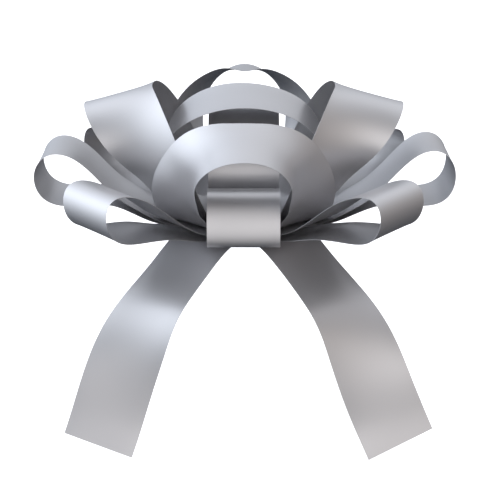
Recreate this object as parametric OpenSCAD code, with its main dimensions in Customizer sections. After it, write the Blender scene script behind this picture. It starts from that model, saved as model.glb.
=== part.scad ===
// Assembled magnetic gift bow: flat vinyl ribbon loops and two tails threaded on one
// centre rivet, over a backing plate and a flexible magnet with a felt face.
// Origin: centre of the felt's face. +Z is the bow's axis, -Y is its front.

/* [Ribbon] */
// Width of the ribbon
ribbon_width = 101.6; // [90:0.1:110]
// Thickness of one ribbon strip
ribbon_thick = 0.4; // [0.3:0.05:0.5]
// Rise from one ribbon to the next on the rivet
layer_pitch = 0.75; // [0.7:0.05:1]
// Length of ribbon past the rivet at a strip's end
end_tab = 16; // [12:1:20]
// Steps along one strip
steps = 56; // [32:4:64]

/* [Low petals] */
// Reach of the front petals
front_reach = 283; // [270:1:295]
// Reach of the back petals
back_reach = 288; // [275:1:300]
// Reach of the left petal
left_reach = 298; // [285:1:310]
// Reach of the right petal
right_reach = 301; // [285:1:310]
// Turn of the front petals away from the front
front_turn = 50; // [45:1:55]

/* [Arches] */
// Height of the front arch above the plate
front_rise = 172; // [160:1:180]
// Height of the side arches above the plate
side_rise = 196; // [185:1:205]
// Height of the back arch above the plate
back_rise = 194; // [185:1:205]
// Reach of an arch's tip from the rivet
arch_reach = 181; // [175:1:190]

/* [Tails] */
// Turn of the left tail away from the front
left_tail_turn = 38; // [35:1:45]
// Turn of the right tail away from the front
right_tail_turn = 40; // [35:1:45]

/* [Hub] */
// Diameter of the backing plate
plate_d = 90; // [80:1:100]
// Diameter of the magnet
magnet_d = 84; // [70:1:90]
// Diameter of the rivet's shank
shank_d = 6; // [5:0.5:8]
// Diameter of the punched hole in each ribbon
punch_d = 7.2; // [6.6:0.1:9]

/* [Hidden] */
$fn = 96;
felt_t = 0.8;
magnet_t = 2.6;
plate_t = 1.6;
deck = felt_t + magnet_t + plate_t;
washer_t = 1.4;
washer_d = 30;
top_washer_d = 20;
first_layer = deck + 2;
top_layer = first_layer + 31 * layer_pitch;
head_d = 16;
head_t = 1.6;
cap_t = 4;
silver = [0.66, 0.67, 0.70];
tab = end_tab;

// Piece to draw

// Height of the middle of one layer of ribbon on the rivet
function layer(i) = first_layer + i * layer_pitch;

// Smooth curve through a list of stations: a uniform cubic B-spline with free ends
function ends(p) = concat([2 * p[0] - p[1]], p, [2 * p[len(p) - 1] - p[len(p) - 2]]);
function blend(q, i, t) = (pow(1 - t, 3) * q[i] + (3 * t * t * t - 6 * t * t + 4) * q[i + 1]
    + (3 * t * t - 3 * t * t * t + 3 * t + 1) * q[i + 2] + t * t * t * q[i + 3]) / 6;
function curve(p, n) = let (q = ends(p), m = len(p) - 1)
    [for (k = [0:n]) let (s = k * m / n, i = min(floor(s), m - 1)) blend(q, i, s - i)];

function unit(a) = a / norm(a);
function heading(c, i) = unit(c[min(i + 1, len(c) - 1)] - c[max(i - 1, 0)]);
function square_to(d, t) = unit(d - (d * t) * t);

// Four corners of the strip at each step, from its centre line and its width direction
function corners(c, d) = [for (i = [0:len(c) - 1])
    let (t = heading(c, i), w = square_to(d[i], t), k = cross(t, w),
         a = w * ribbon_width / 2, b = k * ribbon_thick / 2)
    each [c[i] - a - b, c[i] + a - b, c[i] + a + b, c[i] - a + b]];
function sides(n) = [for (i = [0:n - 1]) let (p = 4 * i) each [
    [p, p + 4, p + 1], [p + 1, p + 4, p + 5],
    [p + 1, p + 5, p + 2], [p + 2, p + 5, p + 6],
    [p + 2, p + 6, p + 7], [p + 2, p + 7, p + 3],
    [p + 3, p + 7, p], [p, p + 7, p + 4]]];
function caps(n) = [[0, 1, 2], [0, 2, 3],
    [4 * n, 4 * n + 2, 4 * n + 1], [4 * n, 4 * n + 3, 4 * n + 2]];

// A ribbon through its stations, turned to its place and punched for the rivet.
// u runs outward, v runs sideways, and turn is the angle of u from the front.
module ribbon(turn, path, across) {
    c = curve(path, steps);
    d = curve(across, steps);
    color(silver) difference() {
        rotate([0, 0, turn - 90])
            polyhedron(points = corners(c, d), faces = concat(sides(steps), caps(steps)));
        cylinder(d = punch_d, h = 60);
    }
}
function level_across(p) = [for (q = p) [0, 1, 0]];
function up(list) = [for (q = list) [q[0], q[1], q[2] + deck]];

// Low petal: out along the plate, round a soft nose, and back over itself
function petal(r, lo, hi, lift, sole, spring = 3) = concat(
    [[-tab, 0, lo], [0.07 * r, 0, lo], [0.21 * r, 0, lo], [0.41 * r, 0, lo + 2]],
    up([[0.58 * r, 0, sole - 7], [0.76 * r, 0, sole - 2], [0.94 * r, 0, sole + 3],
        [r, 0, 78 + lift],
        [0.935 * r, 0, 110 + lift], [0.72 * r, 0, 87 + lift], [0.54 * r, 0, 40 + 0.5 * lift]]),
    [[0.40 * r, 0, hi + spring], [0.29 * r, 0, hi + (spring - 3) / 5], [0.18 * r, 0, hi],
     [0.07 * r, 0, hi],
     [-tab, 0, hi]]);

// Side petal: a narrow waist and a tall round end
function side_petal(r, lo, hi, k) = concat(
    [[-tab, 0, lo], [0.07 * r, 0, lo], [0.22 * r, 0, lo], [0.34 * r, 0, lo + 2]],
    up([[0.45 * r, 0, 17], [0.56 * r, 0, 35], [0.67 * r, 0, 46], [0.80 * r, 0, 41],
        [0.92 * r, 0, 42], [0.995 * r, 0, 60], [1.01 * r, 0, 94 * k],
        [0.94 * r, 0, 121 * k], [0.82 * r, 0, 117 * k], [0.71 * r, 0, 84], [0.62 * r, 0, 54],
        [0.53 * r, 0, 38]]),
    [[0.43 * r, 0, hi + 10], [0.34 * r, 0, hi + 2], [0.22 * r, 0, hi], [0.07 * r, 0, hi],
     [-tab, 0, hi]]);

// Short centre loop at the front
function short_loop(lo, hi) = concat(
    [[-tab, 0, lo], [20, 0, lo], [56, 0, lo], [88, 0, lo], [113, 0, lo]],
    up([[131, 0, 3], [131, 0, 40], [114, 0, 77], [84, 0, 84], [60, 0, 56]]),
    [[40, 0, hi + 9], [24, 0, hi], [6, 0, hi], [-tab, 0, hi]]);

// Leaning arch: one leg goes out on each side, and the crown leans over the petals
function leg(r, s, h, lo, hi, lift, wide) = concat(
    [[-0.7071 * tab, 0.7071 * tab, lo], [0.07 * r, -0.07 * r, lo], [0.17 * r, -0.17 * r, lo],
     [0.26 * r, -0.26 * r, lo], [0.34 * r, -0.36 * r, lo + 1.2],
     [0.41 * r, -0.9 * wide * s, hi + lift]],
    up([[0.485 * r, -0.98 * wide * s, 0.27 * h], [0.58 * r, -wide * s, 0.43 * h],
        [0.70 * r, -0.97 * s, 0.62 * h], [0.86 * r, -0.78 * s, 0.82 * h],
        [0.97 * r, -0.42 * s, 0.96 * h]]));
leg_across = [[0.71, 0.71, 0], [0.71, 0.71, 0], [0.71, 0.71, 0], [0.71, 0.71, 0],
    [0.71, 0.71, 0], [0.72, 0.69, 0.10], [0.73, 0.66, 0.14], [0.78, 0.60, 0.08],
    [0.84, 0.50, -0.06], [0.92, 0.30, -0.18], [0.96, 0.12, -0.24]];
function other_side(p) = [for (i = [len(p) - 1:-1:0]) [p[i][0], -p[i][1], p[i][2]]];
module arch(turn, r, s, h, lo, hi, lift, wide, droop = -0.27) {
    first = leg(r, s, h, lo, lo + layer_pitch, lift, wide);
    second = leg(r, s, h, hi, hi, lift, wide);
    ribbon(turn, concat(first, [[r, 0, h + deck]], other_side(second)),
        concat(leg_across, [[0.97, 0, droop]], other_side(leg_across)));
}

// Upright ring across the bow, and the ring from front to back that stands inside it
function cross_path(lo, hi) = concat(
    [[-tab, 0, lo], [16, 0, lo], [36, 0, lo], [60, 0, lo], [76, 0, lo + 8]],
    up([[104, 0, 52], [121, 0, 104], [104, 0, 156], [54, 0, 186], [0, 0, 193],
        [-54, 0, 186], [-104, 0, 156], [-121, 0, 104], [-104, 0, 52]]),
    [[-76, 0, hi + 8], [-60, 0, hi], [-36, 0, hi], [-16, 0, hi], [tab, 0, hi]]);
cross_lean = [0, 0, 0, 0, 0, 0.04, 0.08, 0.11, 0.13, 0.13, 0.13, 0.11, 0.08, 0.04,
    0, 0, 0, 0, 0];
function depth_path(lo, hi) = concat(
    [[-tab, 0, lo], [-5, 0, lo], [6, 0, lo], [16, 0, lo], [27, 0, lo + 3]],
    up([[38, 0, 46], [42, 0, 72], [38, 0, 104], [20, 0, 142], [-20, 0, 172], [-66, 0, 170],
        [-100, 0, 130], [-94, 0, 76]]),
    [[-60, 0, hi + 10], [-34, 0, hi], [-16, 0, hi], [-2, 0, hi], [0.7 * tab, 0, hi]]);

// Tail: flat under the petals, then over the edge and down with a slow outward turn
function tail_path(lo, hand, sway, drop) = concat(
    [[-tab, 0, lo], [20, 0, lo], [56, 0, lo], [84, 0, lo]],
    up([[112, 0, -8], [150, 0, -32], [206, 3 * hand, -66], [242, 9 * hand, -116],
        [262, 20 * hand, -176], [276, (32 + 0.6 * sway) * hand, -228 - 0.5 * drop],
        [290, (38 + sway) * hand, -262 - drop]]));
function tail_across(hand) = [for (q = [[0, 0], [0, 0], [0, 0], [0, 0], [-0.02, 0],
    [-0.05, 0], [0, 0.05], [0.30, 0.08], [0.43, 0.12], [0.47, 0.14], [0.45, 0.16]])
    [q[0] * hand, 0.95 - 0.25 * abs(q[0]), q[1] * hand]];

module petal_at(turn, path) { ribbon(turn, path, level_across(path)); }

module petal_front_left() { petal_at(-front_turn, petal(front_reach, layer(3), layer(14), 0, 33)); }
module petal_front_right() { petal_at(front_turn, petal(front_reach, layer(4), layer(15), 0, 33)); }
module petal_back_left() { petal_at(-130, petal(back_reach, layer(5), layer(12), 8, 33, 7)); }
module petal_back_right() { petal_at(130, petal(back_reach, layer(6), layer(13), 6, 33, 7)); }
module petal_left() { petal_at(-90, side_petal(left_reach, layer(8), layer(10), 1)); }
module petal_right() { petal_at(90, side_petal(right_reach, layer(9), layer(11), 1.04)); }
module front_loop() { petal_at(0, short_loop(layer(2), layer(28))); }
module arch_front() { arch(0, arch_reach - 1, 86, front_rise, layer(16), layer(17), 11, 1.075); }
module arch_back() { arch(180, arch_reach + 3, 89, back_rise, layer(18), layer(19), 9, 1.05, -0.02); }
module arch_left() { arch(-90, arch_reach, 78, side_rise, layer(20), layer(21), 14, 0.98); }
module arch_right() { arch(90, arch_reach, 78, side_rise, layer(22), layer(23), 14, 0.98); }
module ring_cross() {
    ribbon(90, cross_path(layer(25), layer(26)), [for (k = cross_lean) [0, 1, k]]);
}
module ring_depth() { petal_at(0, depth_path(layer(30), layer(31))); }
module tail_left() { ribbon(-left_tail_turn, tail_path(layer(0), -1, -6, -3), tail_across(-1)); }
module tail_right() { ribbon(right_tail_turn, tail_path(layer(1), 1, 8, 4), tail_across(1)); }

// Disc with a hole through it
module ring_disc(d, hole, z, t, edge = 0.3) {
    translate([0, 0, z]) rotate_extrude()
        polygon([[hole / 2, 0], [d / 2 - edge, 0], [d / 2, edge], [d / 2, t - edge],
            [d / 2 - edge, t], [hole / 2, t]]);
}
module felt_pad() { color([0.12, 0.12, 0.13]) ring_disc(magnet_d, 0, 0, felt_t, 0.2); }
module magnet_disc() { color([0.20, 0.20, 0.21]) ring_disc(magnet_d, head_d + 1, felt_t, magnet_t); }
module backing_plate() {
    color([0.90, 0.90, 0.90]) ring_disc(plate_d, shank_d + 0.2, deck - plate_t, plate_t);
}
module rivet() {
    color([0.85, 0.85, 0.86]) rotate_extrude()
        polygon([[0, deck - plate_t - head_t], [head_d / 2, deck - plate_t - head_t],
            [head_d / 2, deck - plate_t], [shank_d / 2, deck - plate_t],
            [shank_d / 2, top_layer + 4.1], [shank_d / 2 - 0.6, top_layer + 4.7],
            [0, top_layer + 4.7]]);
}
module lower_washer() {
    color([0.85, 0.85, 0.86]) ring_disc(washer_d, shank_d + 0.2, deck, washer_t);
}
module upper_washer() {
    color([0.85, 0.85, 0.86]) ring_disc(top_washer_d, shank_d + 0.2, top_layer + 0.55, washer_t);
}
module rivet_cap() {
    z = top_layer + 0.55 + washer_t;
    color([0.80, 0.81, 0.83]) rotate_extrude()
        polygon([[shank_d / 2, z], [9, z], [9, z + 1], [7.5, z + 3], [5, z + cap_t],
            [0, z + cap_t], [0, top_layer + 4.7], [shank_d / 2 - 0.6, top_layer + 4.7],
            [shank_d / 2, top_layer + 4.1]]);
}

felt_pad();
magnet_disc();
backing_plate();
rivet();
lower_washer();
upper_washer();
rivet_cap();
tail_left();
tail_right();
front_loop();
petal_front_left();
petal_front_right();
petal_back_left();
petal_back_right();
petal_left();
petal_right();
arch_front();
arch_back();
arch_left();
arch_right();
ring_cross();
ring_depth();
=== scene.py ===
"""Looks for an assembled gift bow: satin metallic vinyl ribbon riveted to a magnetic plate."""

import math

import bpy
import numpy as np
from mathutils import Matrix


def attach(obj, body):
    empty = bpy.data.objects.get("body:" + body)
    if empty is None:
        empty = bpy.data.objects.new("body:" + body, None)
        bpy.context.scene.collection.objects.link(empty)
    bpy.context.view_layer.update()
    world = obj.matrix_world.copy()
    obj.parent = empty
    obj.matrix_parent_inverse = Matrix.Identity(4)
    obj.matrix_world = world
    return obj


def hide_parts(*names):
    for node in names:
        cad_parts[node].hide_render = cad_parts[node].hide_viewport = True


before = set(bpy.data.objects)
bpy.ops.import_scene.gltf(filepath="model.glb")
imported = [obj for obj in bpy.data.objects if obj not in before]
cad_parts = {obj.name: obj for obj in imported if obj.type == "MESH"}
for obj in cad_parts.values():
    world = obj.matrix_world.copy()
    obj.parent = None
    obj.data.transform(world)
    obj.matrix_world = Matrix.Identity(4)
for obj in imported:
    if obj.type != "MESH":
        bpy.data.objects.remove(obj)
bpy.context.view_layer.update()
MM = 0.001

# ---------------------------------------------------------------- sizes, in millimetres
RIBBON_WIDTH = 101.6
RIBBON_THICK = 0.4
LAYER_PITCH = 0.75
END_TAB = 16
DECK = 5.0
FIRST_LAYER = DECK + 2
PUNCH_D = 7.2
STEPS_ALONG = 190
STEPS_ACROSS = 14
WAVE_HEIGHT = 0.45
WAVE_PITCH_RANGE = (150, 230)
SECOND_WAVE = 0.61
EDGE_CURL = 0.5
# Length of ribbon from the rivet that lies clamped flat, and the length it loosens over
CLAMPED, CLAMPED_TAIL, LOOSENING = 110, 130, 90
SHARP_EDGE = math.radians(50)
HOLE_SIDES = 48
HOLE_CUTTER_HEIGHT = 60

FRONT_REACH, BACK_REACH, LEFT_REACH, RIGHT_REACH = 283, 288, 298, 301
FRONT_TURN, BACK_TURN = 50, 130
LEFT_TAIL_TURN, RIGHT_TAIL_TURN = 38, 40
ARCH_REACH = 181
FRONT_RISE, SIDE_RISE, BACK_RISE = 172, 196, 194


def layer(i):
    return FIRST_LAYER + i * LAYER_PITCH


def up(stations):
    """Stations whose heights are measured from the plate's top."""
    return [(u, v, w + DECK) for u, v, w in stations]


# ---------------------------------------------------------------- ribbon paths
def petal_path(r, lo, hi, lift, sole, spring=3):
    return (
        [(-END_TAB, 0, lo), (0.07 * r, 0, lo), (0.21 * r, 0, lo), (0.41 * r, 0, lo + 2)]
        + up(
            [
                (0.58 * r, 0, sole - 7),
                (0.76 * r, 0, sole - 2),
                (0.94 * r, 0, sole + 3),
                (r, 0, 78 + lift),
                (0.935 * r, 0, 110 + lift),
                (0.72 * r, 0, 87 + lift),
                (0.54 * r, 0, 40 + 0.5 * lift),
            ]
        )
        + [(0.40 * r, 0, hi + spring), (0.29 * r, 0, hi + (spring - 3) / 5)]
        + [(0.18 * r, 0, hi), (0.07 * r, 0, hi), (-END_TAB, 0, hi)]
    )


def side_petal_path(r, lo, hi, k):
    return (
        [(-END_TAB, 0, lo), (0.07 * r, 0, lo), (0.22 * r, 0, lo), (0.34 * r, 0, lo + 2)]
        + up(
            [
                (0.45 * r, 0, 17),
                (0.56 * r, 0, 35),
                (0.67 * r, 0, 46),
                (0.80 * r, 0, 41),
                (0.92 * r, 0, 42),
                (0.995 * r, 0, 60),
                (1.01 * r, 0, 94 * k),
                (0.94 * r, 0, 121 * k),
                (0.82 * r, 0, 117 * k),
                (0.71 * r, 0, 84),
                (0.62 * r, 0, 54),
                (0.53 * r, 0, 38),
            ]
        )
        + [(0.43 * r, 0, hi + 10), (0.34 * r, 0, hi + 2)]
        + [(0.22 * r, 0, hi), (0.07 * r, 0, hi), (-END_TAB, 0, hi)]
    )


def short_loop_path(lo, hi):
    return (
        [(u, 0, lo) for u in (-END_TAB, 20, 56, 88, 113)]
        + up([(131, 0, 3), (131, 0, 40), (114, 0, 77), (84, 0, 84), (60, 0, 56)])
        + [(40, 0, hi + 9), (24, 0, hi), (6, 0, hi), (-END_TAB, 0, hi)]
    )


def arch_leg(r, s, h, lo, hi, lift, wide):
    tab = 0.7071 * END_TAB
    return (
        [(-tab, tab, lo)]
        + [(k * r, -k * r, lo) for k in (0.07, 0.17, 0.26)]
        + [(0.34 * r, -0.36 * r, lo + 1.2), (0.41 * r, -0.9 * wide * s, hi + lift)]
        + up(
            [
                (0.485 * r, -0.98 * wide * s, 0.27 * h),
                (0.58 * r, -wide * s, 0.43 * h),
                (0.70 * r, -0.97 * s, 0.62 * h),
                (0.86 * r, -0.78 * s, 0.82 * h),
                (0.97 * r, -0.42 * s, 0.96 * h),
            ]
        )
    )


LEG_ACROSS = [(0.71, 0.71, 0)] * 5 + [
    (0.72, 0.69, 0.10),
    (0.73, 0.66, 0.14),
    (0.78, 0.60, 0.08),
    (0.84, 0.50, -0.06),
    (0.92, 0.30, -0.18),
    (0.96, 0.12, -0.24),
]


def other_side(stations):
    return [(u, -v, w) for u, v, w in reversed(stations)]


def arch_path(r, s, h, lo, hi, lift, wide, droop=-0.27):
    first = arch_leg(r, s, h, lo, lo + LAYER_PITCH, lift, wide)
    second = arch_leg(r, s, h, hi, hi, lift, wide)
    path = first + [(r, 0, h + DECK)] + other_side(second)
    return path, LEG_ACROSS + [(0.97, 0, droop)] + other_side(LEG_ACROSS)


def cross_ring_path(lo, hi):
    half = [(104, 52), (121, 104), (104, 156), (54, 186)]
    crown = [(u, 0, w) for u, w in half] + [(0, 0, 193)] + [(-u, 0, w) for u, w in half[::-1]]
    path = (
        [(u, 0, lo) for u in (-END_TAB, 16, 36, 60)]
        + [(76, 0, lo + 8)]
        + up(crown)
        + [(-76, 0, hi + 8)]
        + [(u, 0, hi) for u in (-60, -36, -16, END_TAB)]
    )
    lean = [0, 0, 0, 0, 0, 0.04, 0.08, 0.11, 0.13]
    return path, [(0, 1, k) for k in lean + [0.13] + lean[::-1]]


def inner_ring_path(lo, hi):
    return (
        [(u, 0, lo) for u in (-END_TAB, -5, 6, 16)]
        + [(27, 0, lo + 3)]
        + up(
            [
                (38, 0, 46),
                (42, 0, 72),
                (38, 0, 104),
                (20, 0, 142),
                (-20, 0, 172),
                (-66, 0, 170),
                (-100, 0, 130),
                (-94, 0, 76),
            ]
        )
        + [(-60, 0, hi + 10)]
        + [(u, 0, hi) for u in (-34, -16, -2, 0.7 * END_TAB)]
    )


def tail_path(lo, hand, sway, drop):
    path = [(u, 0, lo) for u in (-END_TAB, 20, 56, 84)] + up(
        [
            (112, 0, -8),
            (150, 0, -32),
            (206, 3 * hand, -66),
            (242, 9 * hand, -116),
            (262, 20 * hand, -176),
            (276, (32 + 0.6 * sway) * hand, -228 - 0.5 * drop),
            (290, (38 + sway) * hand, -262 - drop),
        ]
    )
    twist = [(0, 0)] * 4 + [
        (-0.02, 0),
        (-0.05, 0),
        (0, 0.05),
        (0.30, 0.08),
        (0.43, 0.12),
        (0.47, 0.14),
        (0.45, 0.16),
    ]
    return path, [(a * hand, 0.95 - 0.25 * abs(a), b * hand) for a, b in twist]


# ---------------------------------------------------------------- ribbon meshes
def smooth_curve(stations, steps):
    """A uniform cubic B-spline drawn towards its stations, with free ends."""
    p = np.array(stations, float)
    q = np.vstack([2 * p[0] - p[1], p, 2 * p[-1] - p[-2]])
    spans = len(p) - 1
    s = np.linspace(0, spans, steps + 1)
    i = np.minimum(s.astype(int), spans - 1)
    t = (s - i)[:, None]
    return (
        (1 - t) ** 3 * q[i]
        + (3 * t**3 - 6 * t**2 + 4) * q[i + 1]
        + (3 * t**2 - 3 * t**3 + 3 * t + 1) * q[i + 2]
        + t**3 * q[i + 3]
    ) / 6


def unit(a):
    return a / np.linalg.norm(a, axis=1, keepdims=True)


def strip_frame(turn, path, across):
    """Centre line, width direction and face direction of a strip turned about +Z."""
    centre = smooth_curve(path, STEPS_ALONG)
    wide = smooth_curve(across, STEPS_ALONG)
    a = math.radians(turn - 90)
    spin = np.array([[math.cos(a), -math.sin(a), 0], [math.sin(a), math.cos(a), 0], [0, 0, 1]])
    centre, wide = centre @ spin.T, wide @ spin.T
    along = unit(np.gradient(centre, axis=0))
    wide = unit(wide - np.sum(wide * along, axis=1)[:, None] * along)
    return centre, wide, np.cross(along, wide)


def arc_lengths(centre):
    step = np.linalg.norm(np.diff(centre, axis=0), axis=1)
    return np.concatenate([[0], np.cumsum(step)])


def ease(x):
    x = np.clip(x, 0, 1)
    return x * x * (3 - 2 * x)


def ribbon_mesh(name, turn, path, across, seed, free_end=False):
    """A closed thin strip with softly curled edges and slow waves."""
    centre, wide, face = strip_frame(turn, path, across)
    s = arc_lengths(centre)
    length = s[-1]
    rng = np.random.default_rng(seed)
    if free_end:
        loose = ease((s - CLAMPED_TAIL) / LOOSENING)
    else:
        loose = ease((np.minimum(s, length - s) - CLAMPED) / LOOSENING)
    phase = rng.uniform(0, 2 * math.pi, 3)
    pitch = rng.uniform(*WAVE_PITCH_RANGE)
    x = np.linspace(-1, 1, STEPS_ACROSS + 1)
    twist = np.sin(2 * math.pi * s / pitch + phase[0])
    cup = np.sin(2 * math.pi * s / (SECOND_WAVE * pitch) + phase[1])
    wave = twist[:, None] * x[None, :] * WAVE_HEIGHT
    wave += cup[:, None] * (x**2)[None, :] * 0.5 * WAVE_HEIGHT
    curl = -EDGE_CURL * np.abs(x[None, :]) ** 6
    lift = (wave + curl) * loose[:, None]
    mid = centre[:, None, :] + wide[:, None, :] * (x * RIBBON_WIDTH / 2)[None, :, None]
    mid = mid + face[:, None, :] * lift[:, :, None]
    top = mid + face[:, None, :] * RIBBON_THICK / 2
    low = mid - face[:, None, :] * RIBBON_THICK / 2
    n, m = mid.shape[:2]
    verts = np.concatenate([top.reshape(-1, 3), low.reshape(-1, 3)]) * MM
    grid = np.arange(n * m).reshape(n, m)
    faces = []
    for i in range(n - 1):
        for j in range(m - 1):
            a, b, c, d = grid[i, j], grid[i, j + 1], grid[i + 1, j + 1], grid[i + 1, j]
            faces.append((a, d, c, b))
            faces.append((a + n * m, b + n * m, c + n * m, d + n * m))
    rim = (
        [grid[i, 0] for i in range(n)]
        + [grid[n - 1, j] for j in range(1, m)]
        + [grid[i, m - 1] for i in range(n - 2, -1, -1)]
        + [grid[0, j] for j in range(m - 2, 0, -1)]
    )
    for a, b in zip(rim, rim[1:] + rim[:1]):
        faces.append((a, b, b + n * m, a + n * m))
    mesh = bpy.data.meshes.new(name)
    mesh.from_pydata([tuple(v) for v in verts], [], [tuple(int(k) for k in f) for f in faces])
    uv = mesh.uv_layers.new(name="strip")
    flat_u = np.tile((x + 1) / 2 * RIBBON_WIDTH * MM, n)
    flat_v = np.repeat(s * MM, m)
    for loop in mesh.loops:
        k = loop.vertex_index % (n * m)
        uv.data[loop.index].uv = (flat_u[k], flat_v[k])
    mesh.update()
    mesh.shade_smooth()
    mesh.set_sharp_from_angle(angle=SHARP_EDGE)
    obj = bpy.data.objects.new(name, mesh)
    bpy.context.scene.collection.objects.link(obj)
    return obj, length


def rivet_hole_cutter():
    """A plain rod on the rivet's axis, as wide as the punched hole and taller than the stack."""
    n, radius = HOLE_SIDES, PUNCH_D / 2
    angles = [2 * math.pi * i / n for i in range(n)]
    ring = [(math.cos(a) * radius, math.sin(a) * radius) for a in angles]
    verts = [(x * MM, y * MM, z * MM) for z in (0, HOLE_CUTTER_HEIGHT) for x, y in ring]
    faces = [tuple(range(n - 1, -1, -1)), tuple(range(n, 2 * n))]
    for i in range(n):
        k = (i + 1) % n
        faces.append((i, k, k + n, i + n))
    mesh = bpy.data.meshes.new("rivet_hole_cutter")
    mesh.from_pydata(verts, [], faces)
    obj = bpy.data.objects.new("rivet_hole_cutter", mesh)
    bpy.context.scene.collection.objects.link(obj)
    return obj


def punch(obj, cutter):
    """Cuts the rivet's hole through every pass of the ribbon and keeps the result as the mesh."""
    cut = obj.modifiers.new("rivet_hole", "BOOLEAN")
    cut.object, cut.operation, cut.solver = cutter, "DIFFERENCE", "EXACT"
    seen = obj.evaluated_get(bpy.context.evaluated_depsgraph_get())
    whole, obj.data = obj.data, bpy.data.meshes.new_from_object(seen)
    obj.modifiers.clear()
    bpy.data.meshes.remove(whole)


# ---------------------------------------------------------------- materials
def linear(hex_code):
    """sRGB hex to linear RGBA."""
    parts = [int(hex_code[i : i + 2], 16) / 255 for i in (1, 3, 5)]
    return tuple(c / 12.92 if c <= 0.04045 else ((c + 0.055) / 1.055) ** 2.4 for c in parts) + (1,)


def add(tree, kind, links=(), **settings):
    """Adds one node. links are (input name, output socket); settings are inputs or properties."""
    node = tree.nodes.new(kind)
    for key, value in settings.items():
        if hasattr(node, key):
            setattr(node, key, value)
        else:
            node.inputs[key.replace("_", " ")].default_value = value
    for key, socket in links:
        tree.links.new(socket, node.inputs[key])
    return node


def new_material(name):
    mat = bpy.data.materials.new(name)
    mat.use_nodes = True
    tree = mat.node_tree
    tree.nodes.clear()
    out = tree.nodes.new("ShaderNodeOutputMaterial")
    shader = tree.nodes.new("ShaderNodeBsdfPrincipled")
    tree.links.new(shader.outputs["BSDF"], out.inputs["Surface"])
    return mat, tree, shader


def satin_metallic_vinyl():
    """Calendered vinyl film filled with fine aluminium flake: a broad soft sheen, no mirror."""
    mat, tree, shader = new_material("satin_metallic_vinyl")
    place = add(tree, "ShaderNodeTexCoord")
    cloud = add(
        tree,
        "ShaderNodeTexNoise",
        [("Vector", place.outputs["Object"])],
        Scale=1 / (120 * MM),
        Detail=2.0,
        Roughness=0.5,
    )
    tone = add(tree, "ShaderNodeMix", [(0, cloud.outputs["Fac"])], data_type="RGBA")
    tone.inputs[6].default_value = linear("#c6c6c9")
    tone.inputs[7].default_value = linear("#cecdd0")
    tree.links.new(tone.outputs[2], shader.inputs["Base Color"])
    flake = add(
        tree,
        "ShaderNodeTexNoise",
        [("Vector", place.outputs["Object"])],
        Scale=1 / (1.4 * MM),
        Detail=2.0,
        Roughness=0.6,
    )
    rough = add(tree, "ShaderNodeMapRange", [("Value", flake.outputs["Fac"])])
    rough.inputs["To Min"].default_value = 0.35
    rough.inputs["To Max"].default_value = 0.43
    tree.links.new(rough.outputs["Result"], shader.inputs["Roughness"])
    bump = add(
        tree, "ShaderNodeBump", [("Height", flake.outputs["Fac"])], Strength=0.05, Distance=0.05 * MM
    )
    tree.links.new(bump.outputs["Normal"], shader.inputs["Normal"])
    shader.inputs["Metallic"].default_value = 0.72
    shader.inputs["IOR"].default_value = 1.5
    return mat


def grained_material(name, dark, light, grain_mm, roughness, strength, ior=1.5):
    """A matt or satin moulded surface with fine grain."""
    mat, tree, shader = new_material(name)
    place = add(tree, "ShaderNodeTexCoord")
    grain = add(
        tree,
        "ShaderNodeTexNoise",
        [("Vector", place.outputs["Object"])],
        Scale=1 / (grain_mm * MM),
        Detail=4.0,
        Roughness=0.6,
    )
    tone = add(tree, "ShaderNodeMix", [(0, grain.outputs["Fac"])], data_type="RGBA")
    tone.inputs[6].default_value = linear(dark)
    tone.inputs[7].default_value = linear(light)
    tree.links.new(tone.outputs[2], shader.inputs["Base Color"])
    rough = add(tree, "ShaderNodeMapRange", [("Value", grain.outputs["Fac"])])
    rough.inputs["To Min"].default_value = roughness - 0.06
    rough.inputs["To Max"].default_value = roughness + 0.06
    tree.links.new(rough.outputs["Result"], shader.inputs["Roughness"])
    bump = add(
        tree,
        "ShaderNodeBump",
        [("Height", grain.outputs["Fac"])],
        Strength=strength,
        Distance=0.1 * MM,
    )
    tree.links.new(bump.outputs["Normal"], shader.inputs["Normal"])
    shader.inputs["IOR"].default_value = ior
    return mat


VINYL = satin_metallic_vinyl()
FELT = grained_material("pressed_black_felt", "#141416", "#2a2a2d", 0.6, 0.93, 0.6)
MAGNET = grained_material("flexible_ferrite_rubber", "#1d1d1f", "#262628", 0.9, 0.72, 0.3)
PLATE = grained_material("moulded_white_polypropylene", "#dcdcd9", "#e8e8e5", 1.1, 0.45, 0.15)
NYLON = grained_material("moulded_natural_nylon", "#cfcdc6", "#dbd9d2", 0.9, 0.38, 0.1, 1.53)
CAP = grained_material("silver_moulded_abs", "#a9abb0", "#b4b6ba", 0.8, 0.3, 0.08, 1.54)

# ---------------------------------------------------------------- the ribbons
LEVEL = (0, 1, 0)


def level(path):
    return path, [LEVEL] * len(path)


def petal(r, lo, hi, lift, spring=3, sole=33):
    return level(petal_path(r, layer(lo), layer(hi), lift, sole, spring))


def arch(r, s, h, lo, lift, wide, droop=-0.27):
    return arch_path(r, s, h, layer(lo), layer(lo + 1), lift, wide, droop)


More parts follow.
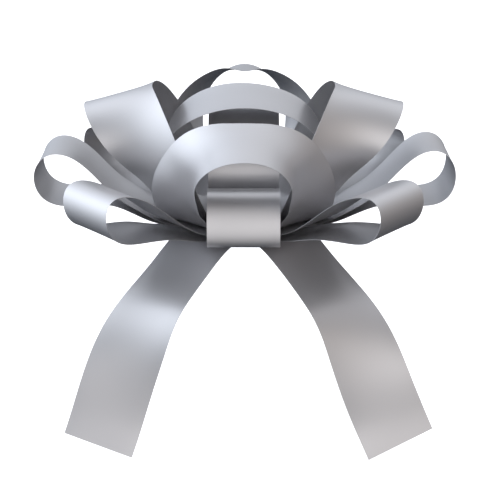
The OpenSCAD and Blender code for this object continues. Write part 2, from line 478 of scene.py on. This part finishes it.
RIBBONS = {
    "tail_left": (-LEFT_TAIL_TURN, tail_path(layer(0), -1, -6, -3), "left_tail"),
    "tail_right": (RIGHT_TAIL_TURN, tail_path(layer(1), 1, 8, 4), "right_tail"),
    "front_loop": (0, level(short_loop_path(layer(2), layer(28))), "bow"),
    "petal_front_left": (-FRONT_TURN, petal(FRONT_REACH, 3, 14, 0), "bow"),
    "petal_front_right": (FRONT_TURN, petal(FRONT_REACH, 4, 15, 0), "bow"),
    "petal_back_left": (-BACK_TURN, petal(BACK_REACH, 5, 12, 8, 7), "bow"),
    "petal_back_right": (BACK_TURN, petal(BACK_REACH, 6, 13, 6, 7), "bow"),
    "petal_left": (-90, level(side_petal_path(LEFT_REACH, layer(8), layer(10), 1)), "bow"),
    "petal_right": (90, level(side_petal_path(RIGHT_REACH, layer(9), layer(11), 1.04)), "bow"),
    "arch_front": (0, arch(ARCH_REACH - 1, 86, FRONT_RISE, 16, 11, 1.075), "bow"),
    "arch_back": (180, arch(ARCH_REACH + 3, 89, BACK_RISE, 18, 9, 1.05, -0.02), "bow"),
    "arch_left": (-90, arch(ARCH_REACH, 78, SIDE_RISE, 20, 14, 0.98), "bow"),
    "arch_right": (90, arch(ARCH_REACH, 78, SIDE_RISE, 22, 14, 0.98), "bow"),
    "ring_cross": (90, cross_ring_path(layer(25), layer(26)), "cross_ring"),
    "ring_depth": (0, level(inner_ring_path(layer(30), layer(31))), "inner_ring"),
}

cutter = rivet_hole_cutter()
for number, (node, (turn, (path, across), body)) in enumerate(RIBBONS.items()):
    hanging = node.startswith("tail")
    piece, cut_length = ribbon_mesh(node + "_vinyl", turn, path, across, number + 3, hanging)
    punch(piece, cutter)
    piece.data.materials.append(VINYL)
    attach(piece, body)
    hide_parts(node)
bpy.data.meshes.remove(cutter.data)

for node, mat in (
    ("felt_pad", FELT),
    ("magnet_disc", MAGNET),
    ("backing_plate", PLATE),
    ("rivet", NYLON),
    ("lower_washer", NYLON),
    ("upper_washer", NYLON),
    ("rivet_cap", CAP),
):
    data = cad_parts[node].data
    data.materials.clear()
    data.materials.append(mat)

# ---------------------------------------------------------------- floor, light and camera
FLOOR_DROP = 0.34
FLOOR_HALF = 30.0

floor_mesh = bpy.data.meshes.new("floor")
floor_mesh.from_pydata(
    [(x * FLOOR_HALF, y * FLOOR_HALF, 0) for x, y in ((-1, -1), (1, -1), (1, 1), (-1, 1))],
    [],
    [(0, 1, 2, 3)],
)
floor = bpy.data.objects.new("floor", floor_mesh)
floor.location.z = -FLOOR_DROP
bpy.context.scene.collection.objects.link(floor)


def white_studio_paper():
    """Seamless white paper that also gives off a little light, so that it stays even."""
    mat, tree, shader = new_material("white_studio_paper")
    shader.inputs["Base Color"].default_value = linear("#f2f2f2")
    shader.inputs["Roughness"].default_value = 0.9
    shader.inputs["Emission Color"].default_value = linear("#ffffff")
    shader.inputs["Emission Strength"].default_value = 0.75
    return mat


floor_mesh.materials.append(white_studio_paper())
floor.visible_glossy = False
floor.visible_diffuse = False

# Soft light from all round the bow: direction, tightness, colour and strength of each glow
GLOWS = [
    ("left", (-0.95, -0.05, 0.25), 4, "#f0f7ff", 2.2),
    ("front", (0.0, -0.95, 0.03), 7, "#fffcfa", 1.4),
    ("front_right", (0.6, -0.75, 0.15), 6, "#fff9f3", 0.8),
    ("top", (0.0, 0.1, 1.0), 3, "#fbfcff", 0.8),
    ("back_left", (-0.6, 0.6, 0.5), 4, "#eef5ff", 1.0),
    ("back_right", (0.6, 0.6, 0.5), 4, "#fafcff", 0.8),
    ("right", (0.95, -0.2, 0.1), 4, "#ffe6d0", 0.2),
]
AMBIENT = 0.12


def studio_sky():
    world = bpy.data.worlds.new("soft_studio")
    world.use_nodes = True
    tree = world.node_tree
    tree.nodes.clear()
    place = add(tree, "ShaderNodeTexCoord")
    base = add(tree, "ShaderNodeBackground", Color=linear("#8f9bb0"), Strength=AMBIENT)
    total = base.outputs[0]
    for _, direction, tightness, colour, strength in GLOWS:
        length = math.sqrt(sum(c * c for c in direction))
        aim = add(
            tree, "ShaderNodeVectorMath", [(0, place.outputs["Generated"])], operation="DOT_PRODUCT"
        )
        aim.inputs[1].default_value = [c / length for c in direction]
        facing = add(tree, "ShaderNodeMath", [(0, aim.outputs["Value"])], operation="MAXIMUM")
        facing.inputs[1].default_value = 0
        fall = add(tree, "ShaderNodeMath", [(0, facing.outputs[0])], operation="POWER")
        fall.inputs[1].default_value = tightness
        power = add(tree, "ShaderNodeMath", [(0, fall.outputs[0])], operation="MULTIPLY")
        power.inputs[1].default_value = strength
        glow = add(tree, "ShaderNodeBackground", [("Strength", power.outputs[0])])
        glow.inputs["Color"].default_value = linear(colour)
        total = add(tree, "ShaderNodeAddShader", [(0, total), (1, glow.outputs[0])]).outputs[0]
    out = tree.nodes.new("ShaderNodeOutputWorld")
    tree.links.new(total, out.inputs["Surface"])
    return world


bpy.context.scene.world = studio_sky()
bpy.context.scene.view_settings.view_transform = "Standard"

CAMERA_PLACE = (0.0089, -1.8935, 0.650)
CAMERA_TILT = math.radians(70)
LENS_MM, SENSOR_MM = 97.4, 36

camera_data = bpy.data.cameras.new("camera")
camera_data.lens = LENS_MM
camera_data.sensor_width = SENSOR_MM
camera = bpy.data.objects.new("camera", camera_data)
camera.location = CAMERA_PLACE
camera.rotation_euler = (CAMERA_TILT, 0, 0)
bpy.context.scene.collection.objects.link(camera)
bpy.context.scene.camera = camera
